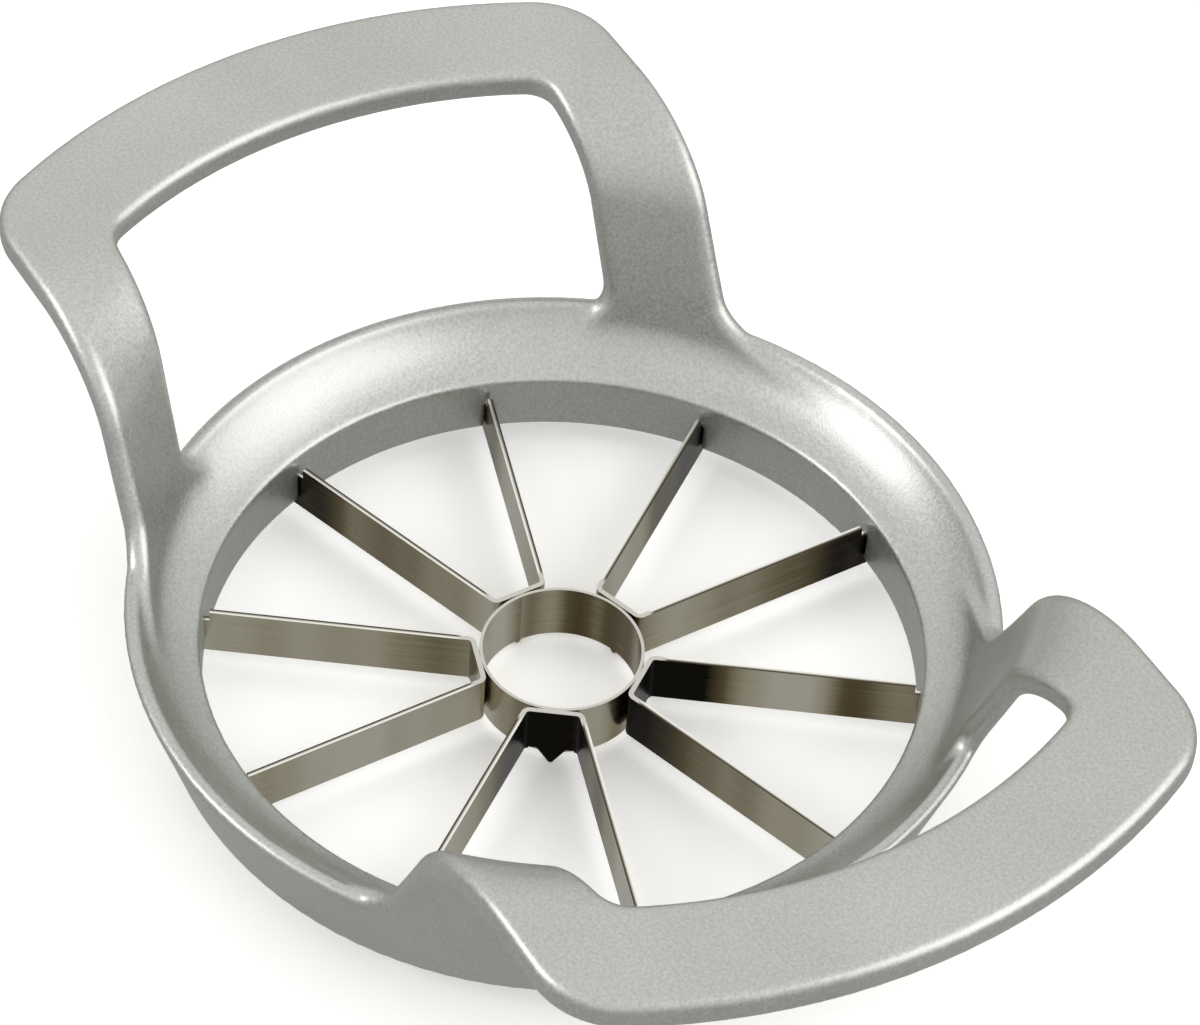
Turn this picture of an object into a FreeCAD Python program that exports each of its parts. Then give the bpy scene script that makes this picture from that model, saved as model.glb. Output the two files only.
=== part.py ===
import FreeCAD, Part
import Sketcher
import math
import os

# Apple slicer and corer of the press-down kind. One cast frame (ring and two loop handles)
# carries five bent steel strips, each a pair of radial blades joined by a short bridge, and
# a thin steel core ring stands inside the five bridges. Nothing moves.
# Millimetres, +Z up, +X along one handle. The origin is on the ring's axis, at the level of
# the five points under the bridges, the lowest spots of the tool.

DOCUMENT = FreeCAD.newDocument("apple_slicer")
AXIS_Z = FreeCAD.Vector(0, 0, 1)
ORIGIN = FreeCAD.Vector(0, 0, 0)

# Driving sizes: alias, value in millimetres or degrees, what it is
SIZES = [
    ("mouth_radius", 45.0, "inner rim of the ring, where the apple goes in"),
    ("wall_lean", 0.4, "how far the inner wall leans in at its foot"),
    ("foot_rounding", 0.8, "rounding along both edges of the underside"),
    ("funnel_width", 7.2, "from the inner rim out to the crease under the bead"),
    ("funnel_rise", 5.9, "from the inner rim up to that crease"),
    ("funnel_radius", 18.0, "hollow curve of the ring's upper face"),
    ("bead_width", 2.1, "width of the bead round the ring"),
    ("bead_rise", 0.8, "height of the bead over the crease"),
    ("root_rise", 1.0, "from the underside up to the root of the handle wall"),
    ("wall_angle", 72.0, "slope of the ring's skirt and of the handle wall, in degrees"),
    ("wall_thickness", 3.0, "thickness of the sloping handle wall"),
    ("grip_lift", 22.1, "from the crease up to the underside of the flat grip"),
    ("grip_thickness", 4.2, "thickness of the flat grip"),
    ("under_bend", 12.0, "bend from wall to grip, underside"),
    ("upper_bend", 15.0, "bend from wall to grip, upper face"),
    ("root_blend", 8.0, "hollow blend from the ring up into the wall"),
    ("handle_length", 38.6, "from the inner rim out to the edge of a grip"),
    ("handle_inset", 1.6, "how much narrower than the mouth a handle is, on each side"),
    ("handle_corner", 11.3, "corner radius of a handle"),
    ("grip_depth", 15.1, "from the edge of a grip in to its finger opening"),
    ("arm_width", 12.2, "width of the arm on each side of a finger opening"),
    ("window_corner", 4.3, "corner radius of the finger opening"),
    ("flare_radius", 5.0, "hollow curve where a handle's side spreads into the ring"),
    ("flare_drop", 0.8, "how far the foot of that curve lies below the crease"),
    ("upper_rounding", 1.5, "rounding of the handles' upper edges"),
    ("under_rounding", 1.2, "rounding of the handles' lower edges"),
    ("point_drop", 2.0, "how far the point under a bridge reaches below the cutting edges"),
    ("point_half", 1.85, "half the width of that point"),
    ("point_flat", 0.2, "half the width of its blunt tip"),
    ("relief_width", 1.0, "width of the relief notch beside the point"),
    ("relief_rise", 0.5, "height of the relief notch over the cutting edge"),
    ("blade_height", 7.1, "from a blade's cutting edge to its back"),
    ("blade_reach", 1.2, "how far the cutting edges stand below the ring"),
    ("blade_recess", 2.0, "how far the blades' backs lie below the inner rim"),
    ("blade_thickness", 0.65, "sheet of the blade strips"),
    ("blade_bevel", 0.24, "bevel on each side of a cutting edge"),
    ("bend_radius", 0.5, "inside radius of the strip's bends"),
    ("tang_depth", 1.9, "how far a tang goes into the ring's wall"),
    ("tang_drop", 1.4, "how far a tang's back lies below the blade's back"),
    ("tang_shoulder", 0.8, "gap between a blade's shoulder and the ring's wall"),
    ("slot_clearance", 0.05, "room round a tang in its slot"),
    ("core_radius", 9.9, "bore of the core ring"),
    ("core_sheet", 0.4, "sheet of the core ring"),
    ("core_drop", 1.0, "how far the core ring cuts ahead of the blades"),
    ("core_recess", 0.1, "how far the core ring's top lies below the blades' backs"),
    ("core_bevel", 0.25, "bevel outside the core ring's cutting edge"),
    ("weld_gap", 0.02, "between the core ring and a bridge"),
]

# Levels over the points' tips, and distances from the axis, that follow from the sizes
PLACES = {
    "blade_bottom": "point_drop",
    "blade_top": "blade_bottom + blade_height",
    "core_bottom": "blade_bottom - core_drop",
    "core_top": "blade_top - core_recess",
    "foot_level": "blade_bottom + blade_reach",
    "mouth_level": "blade_top + blade_recess",
    "crease_level": "mouth_level + funnel_rise",
    "root_level": "foot_level + root_rise",
    "flare_level": "crease_level - flare_drop",
    "grip_level": "crease_level + grip_lift",
    "crease_radius": "mouth_radius + funnel_width",
    "bead_radius": "crease_radius + bead_width",
    "foot_radius": "bead_radius - (crease_level - foot_level) / tan(wall_angle)",
    "outer_root": "bead_radius - (crease_level - root_level) / tan(wall_angle)",
    "inner_root": "outer_root - wall_thickness / sin(wall_angle)",
    "handle_reach": "mouth_radius + handle_length",
    "handle_half": "mouth_radius - handle_inset",
    "window_reach": "handle_reach - grip_depth",
    "window_half": "handle_half - arm_width",
}
STRIP_COUNT = 5
BLADE_COUNT = 2 * STRIP_COUNT

# How closely an edge has to match when it is picked, in millimetres
NEAR = 0.01
# Upward part of a normal: below the first a face counts as upright, above the second as sloping
UPRIGHT_TILT = 0.001
SLOPING_TILT = 0.05


def make_sheet():
    """The spreadsheet of driving sizes, one named row for each."""
    sheet = DOCUMENT.addObject("Spreadsheet::Sheet", "Sizes")
    for row, (alias, value, note) in enumerate(SIZES, start=1):
        sheet.set("A%d" % row, alias)
        sheet.set("B%d" % row, str(value))
        sheet.set("C%d" % row, note)
        sheet.setAlias("B%d" % row, alias)
    DOCUMENT.recompute()
    return sheet


SHEET = make_sheet()


def spelled(word):
    """A word of an expression: a size gets the sheet's name, a place becomes its sizes."""
    if word in PLACES:
        return "(" + bound(PLACES[word]) + ")"
    if any(word == alias for alias, _, _ in SIZES):
        return "Sizes." + word
    return word


def bound(text):
    """An expression over sizes and places, written out for the sheet."""
    pieces = []
    word = ""
    for letter in text + " ":
        if letter.isalpha() or letter == "_":
            word += letter
            continue
        pieces += [spelled(word), letter]
        word = ""
    return "".join(pieces).strip()


def measure(text):
    """The present value of an expression over sizes and places."""
    value = SHEET.evalExpression(bound(text))
    return float(getattr(value, "Value", value))


def bind(item, **expressions):
    """Bind properties of an object to expressions over aliases."""
    for name, text in expressions.items():
        item.setExpression(name.replace("__", "."), bound(text))
    return item


def new_object(kind, name, **expressions):
    """A document object with its sizes bound."""
    return bind(DOCUMENT.addObject(kind, name), **expressions)


def outline_sketch(name, corners, upright=False):
    """A closed sketch through corners, each given by two expressions.

    corners is a list of (first, second, bend). A bend joins the corner to the next one by an
    arc: (radius expression, side), with side +1 for an arc that turns left on its way.
    An upright sketch lies in the XZ plane.
    """
    sketch = DOCUMENT.addObject("Sketcher::SketchObject", name)
    if upright:
        sketch.Placement = FreeCAD.Placement(ORIGIN, FreeCAD.Rotation(FreeCAD.Vector(1, 0, 0), 90))
    places = [FreeCAD.Vector(measure(a), measure(b), 0) for a, b, _ in corners]
    total = len(corners)
    ends = []
    for index, (_, _, bend) in enumerate(corners):
        start = places[index]
        finish = places[(index + 1) % total]
        if bend is None:
            sketch.addGeometry(Part.LineSegment(start, finish), False)
            ends.append((1, 2))
            continue
        radius, side = measure(bend[0]), bend[1]
        chord = finish - start
        across = FreeCAD.Vector(-chord.y, chord.x, 0).normalize() * side
        reach = math.sqrt(radius ** 2 - (chord.Length / 2) ** 2)
        centre = (start + finish) * 0.5 + across * reach
        middle = centre - across * radius
        sketch.addGeometry(Part.Arc(start, middle, finish), False)
        ends.append((1, 2) if side > 0 else (2, 1))
    for index in range(total):
        after = (index + 1) % total
        sketch.addConstraint(
            Sketcher.Constraint("Coincident", index, ends[index][1], after, ends[after][0]))
    for index, (first, second, bend) in enumerate(corners):
        for kind, text in (("DistanceX", first), ("DistanceY", second)):
            number = sketch.addConstraint(
                Sketcher.Constraint(kind, -1, 1, index, ends[index][0], measure(text)))
            sketch.setExpression("Constraints[%d]" % number, bound(text))
        if bend is not None:
            number = sketch.addConstraint(
                Sketcher.Constraint("Radius", index, measure(bend[0])))
            sketch.setExpression("Constraints[%d]" % number, bound(bend[0]))
    return sketch


def turned(name, sketch):
    """A solid turned from an upright sketch about the Z axis."""
    solid = DOCUMENT.addObject("Part::Revolution", name)
    solid.Source = sketch
    solid.Axis = AXIS_Z
    solid.Base = ORIGIN
    solid.Angle = 360.0
    solid.Solid = True
    return solid


def joined(kind, name, first, second):
    """A two-piece boolean: Part::Fuse, Part::Cut or Part::Common."""
    result = DOCUMENT.addObject(kind, name)
    result.Base = first
    result.Tool = second
    if hasattr(result, "Refine"):
        result.Refine = True
    DOCUMENT.recompute()
    return result


def rounded(name, base, radius, wanted):
    """Round the edges of base for which wanted(edge) is true."""
    DOCUMENT.recompute()
    result = DOCUMENT.addObject("Part::Fillet", name)
    result.Base = base
    numbers = [i for i, edge in enumerate(base.Shape.Edges, start=1) if wanted(edge)]
    if not numbers:
        raise RuntimeError("no edge to round in " + name)
    result.Edges = [(number, radius, radius) for number in numbers]
    DOCUMENT.recompute()
    return result


def extruded(name, sketch, direction, length):
    """A solid made by extruding a sketch, its length bound."""
    solid = DOCUMENT.addObject("Part::Extrusion", name)
    solid.Base = sketch
    solid.DirMode = "Custom"
    solid.Dir = direction
    solid.Solid = True
    return bind(solid, LengthFwd=length)


def ring_section():
    """Half section of the ring: foot, skirt, bead, hollow upper face and inner wall."""
    bead_curve = "(bead_width ^ 2 / 4 + bead_rise ^ 2) / (2 * bead_rise)"
    return outline_sketch("ring_section", [
        ("mouth_radius - wall_lean", "foot_level", None),
        ("foot_radius", "foot_level", None),
        ("bead_radius", "crease_level", (bead_curve, 1)),
        ("crease_radius", "crease_level", ("funnel_radius", -1)),
        ("mouth_radius", "mouth_level", None),
    ], upright=True)


def band_section():
    """Half section of the handle wall and the grip, as if they ran all the way round."""
    crown = "(grip_level + grip_thickness)"
    under_corner = "(outer_root + (grip_level - root_level) / tan(wall_angle))"
    upper_corner = "(inner_root + (" + crown + " - root_level) / tan(wall_angle))"
    under_run = "under_bend * tan(wall_angle / 2)"
    upper_run = "upper_bend * tan(wall_angle / 2)"
    edge = "handle_reach + grip_thickness"
    return outline_sketch("band_section", [
        ("outer_root", "root_level", None),
        (under_corner + " - " + under_run + " * cos(wall_angle)",
         "grip_level - " + under_run + " * sin(wall_angle)", ("under_bend", -1)),
        (under_corner + " + " + under_run, "grip_level", None),
        (edge, "grip_level", None),
        (edge, crown, None),
        (upper_corner + " + " + upper_run, crown, ("upper_bend", 1)),
        (upper_corner + " - " + upper_run + " * cos(wall_angle)",
         crown + " - " + upper_run + " * sin(wall_angle)", None),
        ("inner_root", "root_level", None),
    ], upright=True)


def plan_prism(name, reach, half, corner):
    """A tall prism whose plan is a strip of half-width half, cut by a circle of radius reach."""
    disc = new_object("Part::Cylinder", name + "_disc", Radius=reach,
                      Height="2 * grip_level")
    strip = new_object("Part::Box", name + "_strip", Length="2 * (" + reach + ")",
                       Width="2 * " + half, Height="2 * grip_level")
    bind(strip, Placement__Base__x="-(" + reach + ")", Placement__Base__y="-" + half)
    for item in (disc, strip):
        bind(item, Placement__Base__z="root_level")
    prism = joined("Part::Common", name + "_block", disc, strip)
    return rounded(name, prism, measure(corner), is_upright)


def flares(name, half, side):
    """Bars along X under the hollow curves at the four roots, on both sides of the handles.

    side is +1 where the bars widen a handle outwards, -1 where they narrow its opening.
    """
    tip = "(" + half + " %s flare_radius)" % ("+" if side > 0 else "-")
    top = "(flare_level + flare_radius)"
    bars = []
    for word, sign in (("left", ""), ("right", "-")):
        corners = [
            (sign + half, "root_level", None),
            (sign + half, top, ("flare_radius", side if not sign else -side)),
            (sign + tip, "flare_level", None),
            (sign + tip, "root_level", None),
        ]
        sketch = outline_sketch("%s_%s_flare" % (name, word), corners)
        sketch.Placement = FreeCAD.Placement(ORIGIN,
                                             FreeCAD.Rotation(FreeCAD.Vector(1, 1, 1), 120))
        bar = extruded("%s_%s_bar" % (name, word), sketch, FreeCAD.Vector(1, 0, 0), "foot_radius")
        bars.append(bind(bar, LengthRev="foot_radius"))
    return joined("Part::Fuse", name + "_flares", *bars)


def is_upright(edge):
    """Whether an edge is a straight vertical line off the seam of a cylinder."""
    box = edge.BoundBox
    middle = edge.CenterOfMass
    off_seam = min(abs(middle.x), abs(middle.y)) > NEAR
    return box.ZLength > NEAR and box.XLength + box.YLength < NEAR and off_seam


def is_hollow_corner(edge):
    """Whether an edge is the circle where the handle wall leaves the ring's upper face."""
    box = edge.BoundBox
    inside = measure("mouth_radius") + NEAR < box.XMax < measure("crease_radius") - NEAR
    between = measure("mouth_level") + NEAR < box.ZMin < measure("crease_level") - NEAR
    return box.ZLength < NEAR and inside and between


def make_handles():
    """Both loop handles, each with the stretch of the ring that it grows out of."""
    ring = rounded("ring_body", turned("ring_turned", ring_section()), measure("foot_rounding"),
                   lambda edge: abs(edge.BoundBox.ZMax - measure("foot_level")) < NEAR)
    band = turned("band_turned", band_section())
    flange = joined("Part::Fuse", "flange_sharp", ring, band)
    flange = rounded("flange", flange, measure("root_blend"), is_hollow_corner)
    outline = plan_prism("handle_outline", "handle_reach", "handle_half", "handle_corner")
    outline = joined("Part::Fuse", "flared_outline", outline, flares("outer", "handle_half", 1))
    window = plan_prism("finger_window", "window_reach", "window_half", "window_corner")
    window = joined("Part::Cut", "flared_window", window, flares("inner", "window_half", -1))
    plan = joined("Part::Cut", "handle_plan", outline, window)
    return ring, joined("Part::Common", "handles_sharp", flange, plan)


def tilt_at(face, spot):
    """Upward part of a face's outward normal at a spot."""
    return face.normalAt(*face.Surface.parameter(spot)).z


def rim_edges(solid, upper):
    """Numbers of the edges where a handle's upper (or lower) face meets its side faces."""
    numbers = []
    for number, edge in enumerate(solid.Edges, start=1):
        first, last = edge.ParameterRange
        spot = edge.valueAt((first + last) / 2)
        if math.hypot(spot.x, spot.y) < measure("crease_radius"):
            continue
        tilts = [tilt_at(face, spot) for face in solid.ancestorsOfType(edge, Part.Face)]
        tilts.sort(key=abs)
        if len(tilts) == 2 and abs(tilts[0]) < UPRIGHT_TILT and abs(tilts[1]) > SLOPING_TILT:
            if (tilts[1] > 0) == upper:
                numbers.append(number)
    return numbers


def make_frame():
    """The cast frame: ring and handles in one piece, with a slot for each blade's tang."""
    ring, sharp = make_handles()
    soft = DOCUMENT.addObject("Part::Fillet", "handles")
    soft.Base = sharp
    edges = []
    for upper, radius in ((True, measure("upper_rounding")), (False, measure("under_rounding"))):
        edges += [(number, radius, radius) for number in rim_edges(sharp.Shape, upper)]
    soft.Edges = edges
    casting = joined("Part::Fuse", "casting", ring, soft)
    slots = DOCUMENT.addObject("Part::MultiFuse", "tang_slots")
    slots.Shapes = [tang_slot(number) for number in range(BLADE_COUNT)]
    return joined("Part::Cut", "cast_frame", casting, slots)


def tang_slot(number):
    """The cutter for one slot, open to the underside, at a blade's direction."""
    slot = new_object("Part::Box", "tang_slot_%d" % (number + 1),
                      Length="2 * tang_depth + slot_clearance",
                      Width="blade_thickness + 2 * slot_clearance",
                      Height="blade_top + slot_clearance - foot_level")
    turn = blade_direction(number)
    slot.Placement = FreeCAD.Placement(
        FreeCAD.Rotation(AXIS_Z, turn).multVec(FreeCAD.Vector(
            measure("mouth_radius - tang_depth"),
            -measure("blade_thickness / 2 + slot_clearance"),
            measure("foot_level - tang_drop"))),
        FreeCAD.Rotation(AXIS_Z, turn))
    return slot


def blade_direction(number):
    """Direction of a blade in degrees. The gap over +X is one wedge wide."""
    return (number + 0.5) * 360.0 / BLADE_COUNT


def strip_plan(name):
    """Plan of a bent strip whose bridge faces +X: two blades and the bridge between them."""
    half = "(90 / %d)" % STRIP_COUNT
    lean = "((90 - " + half + ") / 2)"
    face = "(core_radius + core_sheet + weld_gap)"
    reach = "(mouth_radius + tang_depth)"
    sheet_half = "(blade_thickness / 2)"
    outer_y = "(" + face + " * tan" + half + " + " + sheet_half + " / cos" + half + ")"
    back = "(" + face + " + blade_thickness)"
    inner_y = "(" + back + " * tan" + half + " - " + sheet_half + " / cos" + half + ")"
    outer_run = "((bend_radius + blade_thickness) * tan" + lean + ")"
    inner_run = "(bend_radius * tan" + lean + ")"
    upper = [
        (face, outer_y + " - " + outer_run, ("bend_radius + blade_thickness", -1)),
        (face + " + " + outer_run + " * cos" + half,
         outer_y + " + " + outer_run + " * sin" + half, None),
        (reach + " * cos" + half + " - " + sheet_half + " * sin" + half,
         reach + " * sin" + half + " + " + sheet_half + " * cos" + half, None),
        (reach + " * cos" + half + " + " + sheet_half + " * sin" + half,
         reach + " * sin" + half + " - " + sheet_half + " * cos" + half, None),
        (back + " + " + inner_run + " * cos" + half,
         inner_y + " + " + inner_run + " * sin" + half, ("bend_radius", 1)),
        (back, inner_y + " - " + inner_run, None),
    ]
    bends = [("bend_radius", 1), None, None, None, ("bend_radius + blade_thickness", -1), None]
    lower = [(x, "-(" + y + ")", bend) for (x, y, _), bend in zip(reversed(upper), bends)]
    return outline_sketch(name, upper + lower)


def underside_cut(name):
    """What is cut away below the cutting edges, round the point under the bridge."""
    notch = "(blade_bottom + relief_rise)"
    edge = "(point_half + relief_width)"
    wide = "mouth_radius"
    half = [
        (wide, "blade_bottom"),
        (edge, "blade_bottom"),
        (edge, notch),
        ("point_half", notch),
        ("point_flat", "0 mm"),
    ]
    corners = [(x, y, None) for x, y in half]
    corners += [("-" + x, y, None) for x, y in reversed(half)]
    corners += [("-" + wide, "-point_drop", None), (wide, "-point_drop", None)]
    sketch = outline_sketch(name, corners)
    sketch.Placement = FreeCAD.Placement(ORIGIN, FreeCAD.Rotation(FreeCAD.Vector(1, 1, 1), 120))
    return sketch


def make_strip(number):
    """One bent strip: blades with tangs and bevelled edges, bridge with its point."""
    tag = "strip_%d_" % number
    reach = "mouth_radius + 2 * tang_depth"
    blank = extruded(tag + "blank", strip_plan(tag + "plan"), AXIS_Z, "blade_top")
    waste = extruded(tag + "waste", underside_cut(tag + "underside"),
                     FreeCAD.Vector(1, 0, 0), reach)
    profiled = joined("Part::Cut", tag + "profiled", blank, waste)
    around = new_object("Part::Cylinder", tag + "around", Radius=reach,
                        Height="2 * tang_drop")
    within = new_object("Part::Cylinder", tag + "within", Radius="mouth_radius - tang_shoulder",
                        Height="2 * tang_drop")
    for item in (around, within):
        bind(item, Placement__Base__z="blade_top - tang_drop")
    shoulder = joined("Part::Cut", tag + "shoulder", around, within)
    notched = joined("Part::Cut", tag + "notched", profiled, shoulder)
    strip = DOCUMENT.addObject("Part::Chamfer", "blade_strip_%d" % number)
    strip.Base = notched
    bevel = measure("blade_bevel")
    strip.Edges = [(i, bevel, bevel) for i, edge in enumerate(notched.Shape.Edges, start=1)
                   if is_cutting_edge(edge)]
    turn = (number - 0.5) * 360.0 / STRIP_COUNT
    strip.Placement = FreeCAD.Placement(ORIGIN, FreeCAD.Rotation(AXIS_Z, turn))
    return strip


def is_cutting_edge(edge):
    """Whether an edge is a long one along the bottom of a blade."""
    box = edge.BoundBox
    level = abs(box.ZMax - measure("blade_bottom")) < NEAR and box.ZLength < NEAR
    return level and edge.Length > measure("mouth_radius") / 2


def make_core_ring():
    """The thin ring that cuts out the core, bevelled outside at its lower edge."""
    outside = new_object("Part::Cylinder", "core_outside", Radius="core_radius + core_sheet",
                         Height="core_top - core_bottom")
    bore = new_object("Part::Cylinder", "core_bore", Radius="core_radius",
                      Height="core_top - core_bottom")
    for item in (outside, bore):
        bind(item, Placement__Base__z="core_bottom")
    tube = joined("Part::Cut", "core_tube", outside, bore)
    ring = DOCUMENT.addObject("Part::Chamfer", "core_ring")
    ring.Base = tube
    bevel = measure("core_bevel")
    ring.Edges = [(i, bevel, bevel) for i, edge in enumerate(tube.Shape.Edges, start=1)
                  if is_core_edge(edge)]
    return ring


def is_core_edge(edge):
    """Whether an edge is the core ring's outer circle at its cutting end."""
    box = edge.BoundBox
    outer = abs(box.XMax - measure("core_radius + core_sheet")) < NEAR
    return outer and abs(box.ZMax - measure("core_bottom")) < NEAR


def check_document(pieces):
    """Stop if any object failed or any piece isn't one valid solid."""
    for item in DOCUMENT.Objects:
        if "Invalid" in item.State or "Error" in item.State:
            raise RuntimeError(item.Name + " failed: " + str(item.State))
    for piece in pieces:
        shape = piece.Shape
        if shape.isNull() or not shape.isValid() or len(shape.Solids) != 1:
            raise RuntimeError(piece.Name + " is not one valid solid")


def write_pieces(pieces):
    """Write each piece to parts/ under its label."""
    os.makedirs("parts", exist_ok=True)
    for piece in pieces:
        piece.Shape.exportStep("parts/" + piece.Label + ".step")
        box = piece.Shape.optimalBoundingBox()
        print("%-14s %9.1f mm3  x %.2f %.2f  y %.2f %.2f  z %.2f %.2f" % (
            piece.Label, piece.Shape.Volume,
            box.XMin, box.XMax, box.YMin, box.YMax, box.ZMin, box.ZMax))


def main():
    """Build every piece, check it and write it."""
    pieces = [make_frame()]
    pieces += [make_strip(number + 1) for number in range(STRIP_COUNT)]
    pieces.append(make_core_ring())
    for piece in pieces:
        piece.Label = piece.Name
    DOCUMENT.recompute()
    check_document(pieces)
    write_pieces(pieces)


main()
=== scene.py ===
"""Apple slicer and corer: a coated die-cast frame with stainless steel blades and core ring."""
import logging
import math
from dataclasses import dataclass, field
from enum import Enum
from typing import Any, Iterable

import bpy
import numpy as np
from mathutils import Matrix, Vector


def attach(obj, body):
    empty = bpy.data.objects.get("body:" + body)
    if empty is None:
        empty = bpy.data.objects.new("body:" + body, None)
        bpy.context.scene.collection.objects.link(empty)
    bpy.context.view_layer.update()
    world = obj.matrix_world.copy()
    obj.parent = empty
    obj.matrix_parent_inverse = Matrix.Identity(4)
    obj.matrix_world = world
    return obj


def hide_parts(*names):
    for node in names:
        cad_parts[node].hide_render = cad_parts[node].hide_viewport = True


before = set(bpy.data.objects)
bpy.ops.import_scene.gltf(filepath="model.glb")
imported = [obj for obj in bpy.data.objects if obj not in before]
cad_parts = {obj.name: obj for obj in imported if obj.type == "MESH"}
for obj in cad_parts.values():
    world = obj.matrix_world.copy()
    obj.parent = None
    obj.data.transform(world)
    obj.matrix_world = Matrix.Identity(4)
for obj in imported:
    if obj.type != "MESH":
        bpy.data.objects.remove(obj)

LOG = logging.getLogger("apple_slicer")
MM = 0.001
# Nearly all values of Blender's noise lie between these two
NOISE_SPAN = (0.3, 0.7)
WHITE = (1.0, 1.0, 1.0, 1.0)
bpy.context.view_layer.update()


class Piece(str, Enum):
    """The nodes of the slicer."""

    FRAME = "cast_frame"
    CORE = "core_ring"
    STRIP_1 = "blade_strip_1"
    STRIP_2 = "blade_strip_2"
    STRIP_3 = "blade_strip_3"
    STRIP_4 = "blade_strip_4"
    STRIP_5 = "blade_strip_5"


STRIPS = (Piece.STRIP_1, Piece.STRIP_2, Piece.STRIP_3, Piece.STRIP_4, Piece.STRIP_5)


def linear(colour: str) -> tuple[float, float, float, float]:
    """Turn an sRGB hex colour into linear values.

    Args:
        colour: six hex digits with a leading hash.

    Returns:
        Red, green, blue and an alpha of 1.
    """
    def channel(text: str) -> float:
        """Linear value of one two-digit channel."""
        value = int(text, 16) / 255
        return value / 12.92 if value <= 0.04045 else ((value + 0.055) / 1.055) ** 2.4

    return channel(colour[1:3]), channel(colour[3:5]), channel(colour[5:7]), 1.0


def per_size(size_mm: float) -> float:
    """Texture scale at which one cell of a pattern is size_mm across, in object metres."""
    return 1.0 / (size_mm * MM)


def towards(azimuth: float, elevation: float) -> Vector:
    """Give a direction as seen from the slicer.

    Args:
        azimuth: degrees from +X towards +Y.
        elevation: degrees above the floor.

    Returns:
        A vector of length 1.
    """
    turn, rise = math.radians(azimuth), math.radians(elevation)
    return Vector((math.cos(rise) * math.cos(turn), math.cos(rise) * math.sin(turn),
                   math.sin(rise)))


def add_node(tree: bpy.types.NodeTree, kind: str, inputs: dict[Any, Any] | None = None,
             **settings: Any) -> bpy.types.Node:
    """Add a node with its settings, input values and links.

    Args:
        tree: the node tree to add to.
        kind: the node's type name.
        inputs: input name or number to a value, or to an output socket to link from.
        **settings: properties of the node itself.

    Returns:
        The new node.
    """
    node = tree.nodes.new(kind)
    for name, value in settings.items():
        setattr(node, name, value)
    for key, value in (inputs or {}).items():
        if isinstance(value, bpy.types.NodeSocket):
            tree.links.new(value, node.inputs[key])
        else:
            node.inputs[key].default_value = value
    return node


def new_material(name: str) -> tuple[bpy.types.Material, bpy.types.NodeTree]:
    """Make an empty node material.

    Args:
        name: what the real material is.

    Returns:
        The material and its node tree.
    """
    material = bpy.data.materials.new(name)
    material.use_nodes = True
    material.node_tree.nodes.clear()
    return material, material.node_tree


def set_ramp(node: bpy.types.Node, stops: Iterable[tuple[float, str]]) -> None:
    """Set a colour ramp's stops.

    Args:
        node: a ramp node.
        stops: position and sRGB hex colour.
    """
    elements = node.color_ramp.elements
    stops = list(stops)
    while len(elements) < len(stops):
        elements.new(1.0)
    for element, (position, colour) in zip(elements, stops):
        element.position = position
        element.color = linear(colour)


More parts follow.
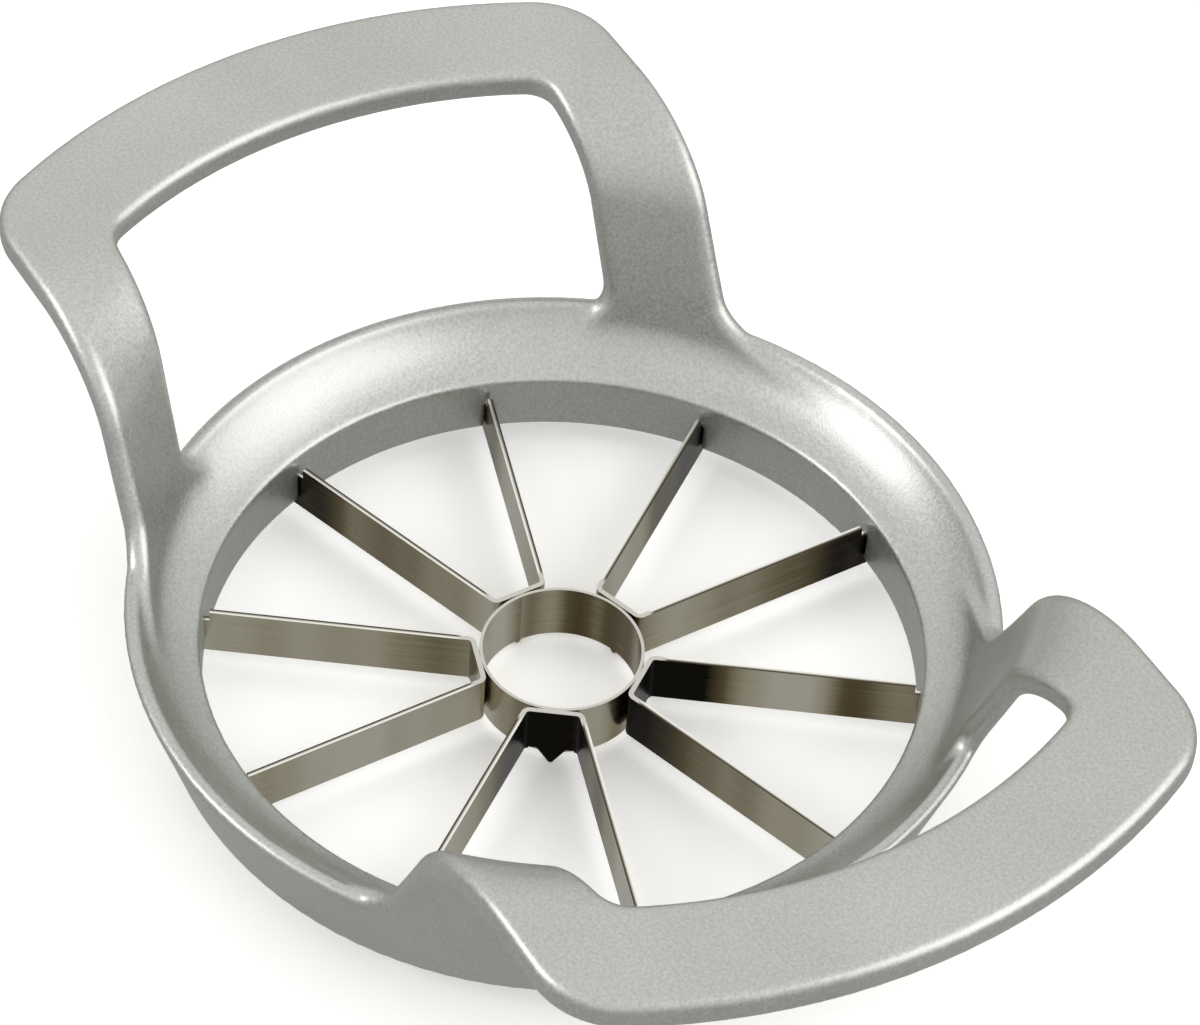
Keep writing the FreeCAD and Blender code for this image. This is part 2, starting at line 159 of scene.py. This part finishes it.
@dataclass(frozen=True)
class SilverCoat:
    """Die-cast aluminium, sprayed with a fine silver lacquer and left satin.

    The metal pigment gives a warm pale grey with a fine sparkle that shows most in the
    highlights, and the cast skin under it keeps a faint unevenness.
    """

    light: str = "#C9CAC7"
    shade: str = "#B6B7B4"
    cloud_shade: str = "#F1F2EE"
    cloud_light: str = "#FFFFFF"
    # Pigment grains are under 0.1 mm; they are drawn at 0.42 mm, the least that shows
    flake_mm: float = 0.42
    flake_roughness: float = 0.65
    fine_detail: float = 2.0
    skin_mm: float = 2.4
    cloud_mm: float = 26.0
    cloud_detail: float = 3.0
    # The noise values between which the grain goes from shade to light
    grain_span: tuple[float, float] = (0.34, 0.66)
    metallic: float = 0.82
    roughness_low: float = 0.3
    roughness_high: float = 0.42
    flake_height_mm: float = 0.02
    skin_height_mm: float = 0.012
    skin_strength: float = 0.5
    # The lacquer rounds off the cast edges by about this much
    edge_mm: float = 0.5
    edge_rays: int = 6

    def build(self) -> bpy.types.Material:
        """Make the material.

        Returns:
            The node material.
        """
        material, tree = new_material("die_cast_aluminium_silver_lacquer")
        place = add_node(tree, "ShaderNodeTexCoord").outputs["Object"]
        flake = add_node(tree, "ShaderNodeTexNoise",
                         {"Vector": place, "Scale": per_size(self.flake_mm),
                          "Detail": self.fine_detail, "Roughness": self.flake_roughness})
        skin = add_node(tree, "ShaderNodeTexNoise",
                        {"Vector": place, "Scale": per_size(self.skin_mm),
                         "Detail": self.fine_detail})
        cloud = add_node(tree, "ShaderNodeTexNoise",
                         {"Vector": place, "Scale": per_size(self.cloud_mm),
                          "Detail": self.cloud_detail})
        grain = add_node(tree, "ShaderNodeValToRGB", {"Fac": flake.outputs["Fac"]})
        set_ramp(grain, zip(self.grain_span, (self.shade, self.light)))
        tone = add_node(tree, "ShaderNodeValToRGB", {"Fac": cloud.outputs["Fac"]})
        set_ramp(tone, zip(NOISE_SPAN, (self.cloud_shade, self.cloud_light)))
        colour = add_node(tree, "ShaderNodeMix",
                          {0: 1.0, 6: grain.outputs["Color"], 7: tone.outputs["Color"]},
                          data_type="RGBA", blend_type="MULTIPLY")
        gloss = add_node(tree, "ShaderNodeMapRange",
                         {"Value": flake.outputs["Fac"],
                          "From Min": NOISE_SPAN[0], "From Max": NOISE_SPAN[1],
                          "To Min": self.roughness_low, "To Max": self.roughness_high})
        edge = add_node(tree, "ShaderNodeBevel", {"Radius": self.edge_mm * MM},
                        samples=self.edge_rays)
        uneven = add_node(tree, "ShaderNodeBump",
                          {"Height": skin.outputs["Fac"], "Strength": self.skin_strength,
                           "Distance": self.skin_height_mm * MM,
                           "Normal": edge.outputs["Normal"]})
        sparkle = add_node(tree, "ShaderNodeBump",
                           {"Height": flake.outputs["Fac"], "Strength": 1.0,
                            "Distance": self.flake_height_mm * MM,
                            "Normal": uneven.outputs["Normal"]})
        shader = add_node(tree, "ShaderNodeBsdfPrincipled",
                          {"Base Color": colour.outputs[2], "Metallic": self.metallic,
                           "Roughness": gloss.outputs["Result"],
                           "Normal": sparkle.outputs["Normal"]})
        add_node(tree, "ShaderNodeOutputMaterial", {"Surface": shader.outputs["BSDF"]})
        return material


@dataclass(frozen=True)
class BladeSteel:
    """Stainless strip, cold rolled and left bright.

    Rolling leaves faint streaks along the strip, and its tone wanders at random between
    brown, straw and pale olive. Dark reflections are painted into the colour: nearly black
    next to the bridges round the hub, at the blades' heads and on the core ring, each
    strongest on one side. The cut top edge of each blade is painted half near white and
    half dark, a painted highlight and a painted shade line on its smooth and rough halves.
    """

    pale: str = "#E2DDCF"
    straw: str = "#C6BFA6"
    brown: str = "#75674A"
    # Near black of the painted dark reflections
    reflected_dark: str = "#15120C"
    # Colours of the cut top edges: a painted highlight and a painted shade line
    burnished_highlight: str = "#F4F2EA"
    torn_shade: str = "#4A4436"
    # Half the width over which the dark half of a cut edge turns into the bright one; the
    # dark half is a painted shade line and the bright one a painted highlight
    shear_mm: float = 0.16
    # Between these a strip turns from its bend into a straight blade along a radius
    bend_mm: float = 12.4
    straight_mm: float = 13.4
    hub_share: float = 0.65
    blades: int = 10
    # A tint zone is about a third of a blade long
    zone_mm: float = 13.0
    zone_detail: float = 1.0
    # The painted hub reflection starts at the bridges, whose outer faces are about 11 mm
    # from the axis; the core ring's painted reflection lies inside them
    inside_bridge_mm: float = 10.4
    bridge_face_mm: float = 10.9
    hub_reflection_strong_mm: float = 12.5
    hub_reflection_end_mm: float = 30.0
    # Sides of the slicer, in degrees from +X towards +Y, where painted reflections are darkest
    hub_reflection_side: float = -5.0
    hub_reflection_least: float = 0.12
    head_reflection_start_mm: float = 29.0
    head_reflection_strong_mm: float = 43.0
    head_reflection_side: float = 132.0
    head_reflection_least: float = 0.0
    core_reflection_side: float = 100.0
    core_reflection_least: float = 0.0
    core_reflection_share: float = 0.28
    # A full painted reflection moves the colour this far down its ramp, from pale towards near
    # black
    reflection_step: float = 0.46
    streak_share: float = 0.1
    reflected_dark_at: float = 0.08
    brown_at: float = 0.28
    straw_at: float = 0.46
    pale_at: float = 0.62
    # Cosines from a painted reflection's darkest side between which it comes in
    side_span: tuple[float, float] = (-0.1, 0.7)
    # A face whose normal rises between these is an edge seen from above
    edge_span: tuple[float, float] = (0.5, 0.8)
    # Rolling streaks are about 0.05 mm apart; they are drawn at 0.3 mm to show at all
    streak_mm: float = 0.3
    streak_length_mm: float = 30.0
    streak_detail: float = 3.0
    roughness_low: float = 0.2
    roughness_high: float = 0.3
    streak_height_mm: float = 0.0012

    def add_side(self, tree: bpy.types.NodeTree, turn: bpy.types.NodeSocket, middle: float,
                 least: float) -> bpy.types.NodeSocket:
        """Add a share that is 1 on one side of the axis and falls to least on the other.

        Args:
            tree: the material's tree.
            turn: angle round the axis, in radians.
            middle: angle at which the share is 1, in degrees.
            least: the smallest share.

        Returns:
            The share.
        """
        apart = add_node(tree, "ShaderNodeMath", {0: turn, 1: math.radians(middle)},
                         operation="SUBTRACT")
        swing = add_node(tree, "ShaderNodeMath", {0: apart.outputs["Value"]},
                         operation="COSINE")
        return add_node(tree, "ShaderNodeMapRange",
                        {"Value": swing.outputs["Value"], "From Min": self.side_span[0],
                         "From Max": self.side_span[1], "To Min": least, "To Max": 1.0},
                        interpolation_type="SMOOTHSTEP").outputs["Result"]

    def add_band(self, tree: bpy.types.NodeTree, radius: bpy.types.NodeSocket,
                 nothing_mm: float, full_mm: float) -> bpy.types.NodeSocket:
        """Add a share that rises smoothly from 0 to 1 between two distances from the axis.

        Args:
            tree: the material's tree.
            radius: distance from the axis, in metres.
            nothing_mm: where the share is 0.
            full_mm: where the share is 1.

        Returns:
            The share.
        """
        first, last = sorted((nothing_mm, full_mm))
        rising = full_mm > nothing_mm
        return add_node(tree, "ShaderNodeMapRange",
                        {"Value": radius, "From Min": first * MM, "From Max": last * MM,
                         "To Min": 0.0 if rising else 1.0, "To Max": 1.0 if rising else 0.0},
                        interpolation_type="SMOOTHSTEP").outputs["Result"]

    def add_shear(self, tree: bpy.types.NodeTree, radius: bpy.types.NodeSocket,
                  turn: bpy.types.NodeSocket) -> bpy.types.NodeSocket:
        """Add a share that goes from 0 to 1 across the thickness of every blade.

        Args:
            tree: the material's tree.
            radius: distance from the axis, in metres.
            turn: angle round the axis, in radians.

        Returns:
            The share.
        """
        pitch = math.tau / self.blades
        around = add_node(tree, "ShaderNodeMath", {0: turn, 1: math.tau}, operation="ADD")
        within = add_node(tree, "ShaderNodeMath", {0: around.outputs["Value"], 1: pitch},
                          operation="MODULO")
        off = add_node(tree, "ShaderNodeMath", {0: within.outputs["Value"], 1: pitch / 2},
                       operation="SUBTRACT")
        slope = add_node(tree, "ShaderNodeMath", {0: off.outputs["Value"]}, operation="SINE")
        across = add_node(tree, "ShaderNodeMath", {0: slope.outputs["Value"], 1: radius},
                          operation="MULTIPLY")
        share = add_node(tree, "ShaderNodeMapRange",
                         {"Value": across.outputs["Value"], "From Min": -self.shear_mm * MM,
                          "From Max": self.shear_mm * MM})
        # The core ring and the bends round it have no such halves
        return add_node(tree, "ShaderNodeMix",
                        {0: self.add_band(tree, radius, self.bend_mm, self.straight_mm),
                         2: self.hub_share, 3: share.outputs["Result"]},
                        data_type="FLOAT").outputs[0]

    def add_product(self, tree: bpy.types.NodeTree,
                    shares: list[bpy.types.NodeSocket]) -> bpy.types.NodeSocket:
        """Add the product of some shares.

        Args:
            tree: the material's tree.
            shares: what is multiplied, at least one.

        Returns:
            The product.
        """
        result = shares[0]
        for share in shares[1:]:
            result = add_node(tree, "ShaderNodeMath", {0: result, 1: share},
                              operation="MULTIPLY").outputs["Value"]
        return result

    def build(self) -> bpy.types.Material:
        """Make the material.

        Returns:
            The node material.
        """
        material, tree = new_material("stainless_steel_cold_rolled")
        place = add_node(tree, "ShaderNodeTexCoord").outputs["Object"]
        parts = add_node(tree, "ShaderNodeSeparateXYZ", {"Vector": place})
        flat = add_node(tree, "ShaderNodeCombineXYZ",
                        {"X": parts.outputs["X"], "Y": parts.outputs["Y"]})
        radius = add_node(tree, "ShaderNodeVectorMath", {0: flat.outputs["Vector"]},
                          operation="LENGTH")
        turn = add_node(tree, "ShaderNodeMath",
                        {0: parts.outputs["Y"], 1: parts.outputs["X"]}, operation="ARCTAN2")
        along = add_node(tree, "ShaderNodeMath",
                         {0: radius.outputs["Value"], 1: per_size(self.streak_length_mm)},
                         operation="MULTIPLY")
        across = add_node(tree, "ShaderNodeMath",
                          {0: parts.outputs["Z"], 1: per_size(self.streak_mm)},
                          operation="MULTIPLY")
        rolled = add_node(tree, "ShaderNodeCombineXYZ",
                          {"X": along.outputs["Value"], "Y": turn.outputs["Value"],
                           "Z": across.outputs["Value"]})
        streak = add_node(tree, "ShaderNodeTexNoise",
                          {"Vector": rolled.outputs["Vector"], "Scale": 1.0,
                           "Detail": self.streak_detail})
        outward = add_node(tree, "ShaderNodeMath",
                           {0: radius.outputs["Value"], 1: per_size(self.zone_mm)},
                           operation="MULTIPLY")
        blade = add_node(tree, "ShaderNodeMath",
                         {0: turn.outputs["Value"], 1: self.blades / math.tau},
                         operation="MULTIPLY")
        tint_place = add_node(tree, "ShaderNodeCombineXYZ",
                              {"X": outward.outputs["Value"], "Y": blade.outputs["Value"]})
        zone = add_node(tree, "ShaderNodeTexNoise",
                        {"Vector": tint_place.outputs["Vector"], "Scale": 1.0,
                         "Detail": self.zone_detail})
        blend = add_node(tree, "ShaderNodeMix",
                         {0: self.streak_share, 2: zone.outputs["Fac"],
                          3: streak.outputs["Fac"]},
                         data_type="FLOAT")
        distance = radius.outputs["Value"]
        # Painted dark reflections: by the bridges round the hub, at the blades' heads and on
        # the core ring
        hub_reflection = self.add_product(tree, [
            self.add_band(tree, distance, self.inside_bridge_mm, self.bridge_face_mm),
            self.add_band(tree, distance, self.hub_reflection_end_mm, self.hub_reflection_strong_mm),
            self.add_side(tree, turn.outputs["Value"], self.hub_reflection_side, self.hub_reflection_least)])
        head = self.add_product(tree, [
            self.add_band(tree, distance, self.head_reflection_start_mm, self.head_reflection_strong_mm),
            self.add_side(tree, turn.outputs["Value"], self.head_reflection_side, self.head_reflection_least)])
        core = self.add_product(tree, [
            self.add_band(tree, distance, self.bridge_face_mm, self.inside_bridge_mm),
            self.add_side(tree, turn.outputs["Value"], self.core_reflection_side, self.core_reflection_least)])
        ends = add_node(tree, "ShaderNodeMath", {0: hub_reflection, 1: head}, operation="ADD")
        painted_reflection = add_node(tree, "ShaderNodeMath",
                        {0: core, 1: self.core_reflection_share, 2: ends.outputs["Value"]},
                        operation="MULTIPLY_ADD")
        tone_and_reflection = add_node(tree, "ShaderNodeMath",
                        {0: painted_reflection.outputs["Value"], 1: -self.reflection_step, 2: blend.outputs[0]},
                        operation="MULTIPLY_ADD")
        # The ramp carries the random tone and, towards its dark end, the painted reflections
        tint = add_node(tree, "ShaderNodeValToRGB", {"Fac": tone_and_reflection.outputs["Value"]})
        set_ramp(tint, [(self.reflected_dark_at, self.reflected_dark), (self.brown_at, self.brown),
                        (self.straw_at, self.straw), (self.pale_at, self.pale)])
        facing = add_node(tree, "ShaderNodeSeparateXYZ",
                          {"Vector": add_node(tree, "ShaderNodeNewGeometry").outputs["Normal"]})
        on_top = add_node(tree, "ShaderNodeMapRange",
                          {"Value": facing.outputs["Z"], "From Min": self.edge_span[0],
                           "From Max": self.edge_span[1]})
        # Each blade's top edge: painted highlight on one half of its thickness, painted shade
        # line on the other
        edge_highlight_and_shade = add_node(tree, "ShaderNodeMix",
                           {0: self.add_shear(tree, distance, turn.outputs["Value"]),
                            6: linear(self.torn_shade), 7: linear(self.burnished_highlight)},
                           data_type="RGBA")
        colour = add_node(tree, "ShaderNodeMix",
                          {0: on_top.outputs["Result"], 6: tint.outputs["Color"],
                           7: edge_highlight_and_shade.outputs[2]}, data_type="RGBA")
        gloss = add_node(tree, "ShaderNodeMapRange",
                         {"Value": streak.outputs["Fac"],
                          "From Min": NOISE_SPAN[0], "From Max": NOISE_SPAN[1],
                          "To Min": self.roughness_low, "To Max": self.roughness_high})
        groove = add_node(tree, "ShaderNodeBump",
                          {"Height": streak.outputs["Fac"], "Strength": 1.0,
                           "Distance": self.streak_height_mm * MM})
        shader = add_node(tree, "ShaderNodeBsdfPrincipled",
                          {"Base Color": colour.outputs[2], "Metallic": 1.0,
                           "Roughness": gloss.outputs["Result"],
                           "Normal": groove.outputs["Normal"]})
        add_node(tree, "ShaderNodeOutputMaterial", {"Surface": shader.outputs["BSDF"]})
        return material


@dataclass(frozen=True)
class PaleSheet:
    """Opal acrylic sheet, matt and softly lit from behind, so shadows on it stay faint."""

    colour: str = "#FBFBFA"
    grain_colour: str = "#F8F8F7"
    grain_mm: float = 1.2
    roughness: float = 0.9
    glow: float = 0.22

    def build(self) -> bpy.types.Material:
        """Make the material.

        Returns:
            The node material.
        """
        material, tree = new_material("matt_opal_acrylic")
        place = add_node(tree, "ShaderNodeTexCoord").outputs["Object"]
        grain = add_node(tree, "ShaderNodeTexNoise",
                         {"Vector": place, "Scale": per_size(self.grain_mm)})
        colour = add_node(tree, "ShaderNodeValToRGB", {"Fac": grain.outputs["Fac"]})
        set_ramp(colour, zip(NOISE_SPAN, (self.grain_colour, self.colour)))
        shader = add_node(tree, "ShaderNodeBsdfPrincipled",
                          {"Base Color": colour.outputs["Color"], "Roughness": self.roughness,
                           "Emission Color": linear(self.colour),
                           "Emission Strength": self.glow})
        add_node(tree, "ShaderNodeOutputMaterial", {"Surface": shader.outputs["BSDF"]})
        return material


def dress(piece: Piece, material: bpy.types.Material) -> None:
    """Give a CAD node its material.

    Args:
        piece: the node.
        material: its finish.
    """
    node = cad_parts[piece.value]
    if not node.material_slots:
        node.data.materials.append(None)
    for slot in node.material_slots:
        slot.link = "OBJECT"
        slot.material = material
    LOG.info("%s dressed with %s", piece.value, material.name)


@dataclass
class CastFrame:
    """The casting: ring and two loop handles.

    The die leaves every edge softly rounded and every fillet running out smoothly, and the
    lacquer fills what is finer, so a skin is cast over the solid and stands for it.
    """

    finish: SilverCoat = field(default_factory=SilverCoat)
    grid_mm: float = 0.36
    kept_faces: float = 0.38
    # How far a point moves towards its neighbours' middle in a round of smoothing
    smoothing: float = 0.5
    first_rounds: int = 3
    last_rounds: int = 4
    # The funnel runs from the mouth out to the rim, and is bare across the handles' line
    mouth_mm: float = 45.2
    rim_mm: float = 52.5
    rim_fade_mm: float = 51.3
    bare_mm: float = 1.5
    # Where an arm's root fades into the funnel, measured along Y
    inner_foot_mm: float = 26.3
    inner_full_mm: float = 30.2
    outer_full_mm: float = 44.4
    outer_foot_mm: float = 48.2
    # What stands higher over the funnel than this is an arm and not its root
    tallest_mm: float = 3.0
    # A face of the funnel looks up at least this much
    least_upward: float = 0.25

    def build(self) -> None:
        """Cast the skin over the solid and dress both."""
        coat = self.finish.build()
        dress(Piece.FRAME, coat)
        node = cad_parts[Piece.FRAME.value]
        draft = bpy.data.objects.new("lacquered_casting", node.data.copy())
        bpy.context.scene.collection.objects.link(draft)
        grid = draft.modifiers.new("even_grid", "REMESH")
        grid.mode = "VOXEL"
        grid.voxel_size = self.grid_mm * MM
        self.soften(draft, self.first_rounds)
        view = bpy.context.evaluated_depsgraph_get()
        mesh = bpy.data.meshes.new_from_object(draft.evaluated_get(view))
        draft.modifiers.clear()
        draft.data = mesh
        self.fade_roots(mesh)
        mesh.materials.clear()
        mesh.materials.append(coat)
        mesh.shade_smooth()
        self.soften(draft, self.last_rounds)
        lean = draft.modifiers.new("lean", "DECIMATE")
        lean.ratio = self.kept_faces
        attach(draft, "root")
        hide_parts(Piece.FRAME.value)
        LOG.info("lacquered_casting cast with %d points", len(mesh.vertices))

    def soften(self, skin: bpy.types.Object, rounds: int) -> None:
        """Round off the skin's edges.

        Args:
            skin: the skin.
            rounds: how many times each point moves towards its neighbours' middle.
        """
        soft = skin.modifiers.new("soft_edges", "SMOOTH")
        soft.factor = self.smoothing
        soft.iterations = rounds

    def fade_roots(self, mesh: bpy.types.Mesh) -> None:
        """Let the roots of the arms run out smoothly on the funnel.

        Args:
            mesh: the skin's mesh, changed in place.
        """
        points = np.empty(len(mesh.vertices) * 3)
        mesh.vertices.foreach_get("co", points)
        points = points.reshape(-1, 3)
        normals = np.empty(points.size)
        mesh.vertices.foreach_get("normal", normals)
        upward = normals.reshape(-1, 3)[:, 2] > self.least_upward
        x, y, z = np.abs(points.T) / MM
        radius = np.hypot(x, y)
        funnel = upward & (radius > self.mouth_mm) & (radius < self.rim_mm)
        bare = funnel & (x < self.bare_mm)
        order = np.argsort(radius[bare])
        level = np.interp(radius, radius[bare][order], z[bare][order])
        rise = z - level
        root = funnel & (rise < self.tallest_mm)
        kept = (self.ramp(y, self.inner_foot_mm, self.inner_full_mm)
                * self.ramp(y, self.outer_foot_mm, self.outer_full_mm))
        inside = self.ramp(radius, self.rim_mm, self.rim_fade_mm)
        share = 1.0 - (1.0 - kept) * inside
        points[root, 2] = (level + rise * share)[root] * MM
        mesh.vertices.foreach_set("co", points.ravel())
        mesh.update()

    @staticmethod
    def ramp(values: np.ndarray, nothing: float, full: float) -> np.ndarray:
        """Share that goes smoothly from 0 at one value to 1 at another."""
        part = np.clip((values - nothing) / (full - nothing), 0.0, 1.0)
        return part * part * (3.0 - 2.0 * part)


@dataclass
class Cutter:
    """The five blade strips and the core ring."""

    finish: BladeSteel = field(default_factory=BladeSteel)

    def build(self) -> None:
        """Dress the blades and the core ring."""
        steel = self.finish.build()
        for piece in (*STRIPS, Piece.CORE):
            dress(piece, steel)


@dataclass
class Studio:
    """White floor, soft lights and a surrounding that the metal mirrors."""

    floor_size: float = 8.0
    # Room under the slicer, so that it doesn't share a plane with the floor
    floor_drop_mm: float = 0.02
    sky: str = "#FCFCFB"
    horizon: str = "#D8D8D6"
    below: str = "#A7A7A5"
    # Shares of the way from straight down to straight up
    below_at: float = 0.44
    horizon_at: float = 0.54
    sky_at: float = 0.8
    light_distance: float = 1.4
    light_elevation: float = 30.0
    left_azimuth: float = -115.0
    left_size: float = 0.5
    left_radiance: float = 5.6
    right_azimuth: float = 45.0
    right_size: float = 1.3
    right_radiance: float = 1.6

    def build(self) -> None:
        """Build the floor, the lights and the surroundings."""
        self.make_floor()
        self.make_surroundings()
        self.make_light("left_softbox", self.left_azimuth, self.left_size,
                        self.left_radiance)
        self.make_light("right_softbox", self.right_azimuth, self.right_size,
                        self.right_radiance)

    def make_floor(self) -> None:
        """A pale sheet that the slicer stands on."""
        half = self.floor_size / 2
        mesh = bpy.data.meshes.new("studio_floor")
        mesh.from_pydata([(-half, -half, 0), (half, -half, 0), (half, half, 0),
                          (-half, half, 0)], [], [(0, 1, 2, 3)])
        floor = bpy.data.objects.new("studio_floor", mesh)
        mesh.materials.append(PaleSheet().build())
        floor.location.z = -self.floor_drop_mm * MM
        floor.visible_glossy = False
        bpy.context.scene.collection.objects.link(floor)

    def make_light(self, name: str, azimuth: float, size: float, radiance: float) -> None:
        """A square soft light aimed at the slicer.

        Args:
            name: its name.
            azimuth: its direction from the slicer, in degrees from +X towards +Y.
            size: its side, in metres.
            radiance: how bright its face is, where the surrounding white is 1.
        """
        place = self.light_distance * towards(azimuth, self.light_elevation)
        data = bpy.data.lights.new(name, "AREA")
        data.size = size
        data.energy = radiance * math.pi * size ** 2
        light = bpy.data.objects.new(name, data)
        light.location = place
        light.rotation_mode = "QUATERNION"
        light.rotation_quaternion = (-place).to_track_quat("-Z", "Y")
        bpy.context.scene.collection.objects.link(light)

    def make_surroundings(self) -> None:
        """White all round for the eye; the metal mirrors white above and dark below."""
        world = bpy.data.worlds.new("studio")
        bpy.context.scene.world = world
        world.use_nodes = True
        tree = world.node_tree
        tree.nodes.clear()
        direction = add_node(tree, "ShaderNodeTexCoord").outputs["Generated"]
        parts = add_node(tree, "ShaderNodeSeparateXYZ", {"Vector": direction})
        ramp = add_node(tree, "ShaderNodeValToRGB",
                        {"Fac": add_node(tree, "ShaderNodeMapRange",
                                         {"Value": parts.outputs["Z"], "From Min": -1.0,
                                          "From Max": 1.0}).outputs["Result"]})
        set_ramp(ramp, [(0.0, self.below), (self.below_at, self.below),
                        (self.horizon_at, self.horizon), (self.sky_at, self.sky)])
        path = add_node(tree, "ShaderNodeLightPath")
        seen = add_node(tree, "ShaderNodeMix",
                        {0: path.outputs["Is Camera Ray"], 6: ramp.outputs["Color"],
                         7: WHITE}, data_type="RGBA")
        shader = add_node(tree, "ShaderNodeBackground",
                          {"Color": seen.outputs[2], "Strength": 1.0})
        add_node(tree, "ShaderNodeOutputWorld", {"Surface": shader.outputs["Background"]})


@dataclass
class Viewpoint:
    """The camera, stated by where it looks and from where.

    Azimuth is measured from +X towards +Y. Roll turns the picture anticlockwise.
    """

    azimuth: float = -33.7211
    elevation: float = 46.3812
    roll: float = 4.3113
    distance_mm: float = 666.7
    target_mm: tuple[float, float, float] = (-17.0976, 15.5281, 10.0)
    lens_mm: float = 157.14
    sensor_mm: float = 36.0
    nearest: float = 0.01
    farthest: float = 50.0

    def build(self) -> None:
        """Make the scene's camera."""
        back = towards(self.azimuth, self.elevation)
        turn = math.radians(self.azimuth)
        right = Vector((-math.sin(turn), math.cos(turn), 0.0))
        up = back.cross(right)
        roll = math.radians(self.roll)
        side = right * math.cos(roll) + up * math.sin(roll)
        top = up * math.cos(roll) - right * math.sin(roll)
        place = Vector(self.target_mm) * MM + back * self.distance_mm * MM
        data = bpy.data.cameras.new("photo_view")
        data.lens = self.lens_mm
        data.sensor_fit = "HORIZONTAL"
        data.sensor_width = self.sensor_mm
        data.clip_start = self.nearest
        data.clip_end = self.farthest
        camera = bpy.data.objects.new("photo_view", data)
        bpy.context.scene.collection.objects.link(camera)
        camera.matrix_world = Matrix((
            (side.x, top.x, back.x, place.x),
            (side.y, top.y, back.y, place.y),
            (side.z, top.z, back.z, place.z),
            (0.0, 0.0, 0.0, 1.0)))
        bpy.context.scene.camera = camera


def main() -> None:
    """Build the slicer's looks, the studio and the camera."""
    logging.basicConfig(level=logging.INFO, format="%(message)s")
    bpy.context.scene.view_settings.view_transform = "Standard"
    for part in (CastFrame(), Cutter(), Studio(), Viewpoint()):
        part.build()
        LOG.info("%s done", type(part).__name__)


if __name__ == "__main__":
    main()
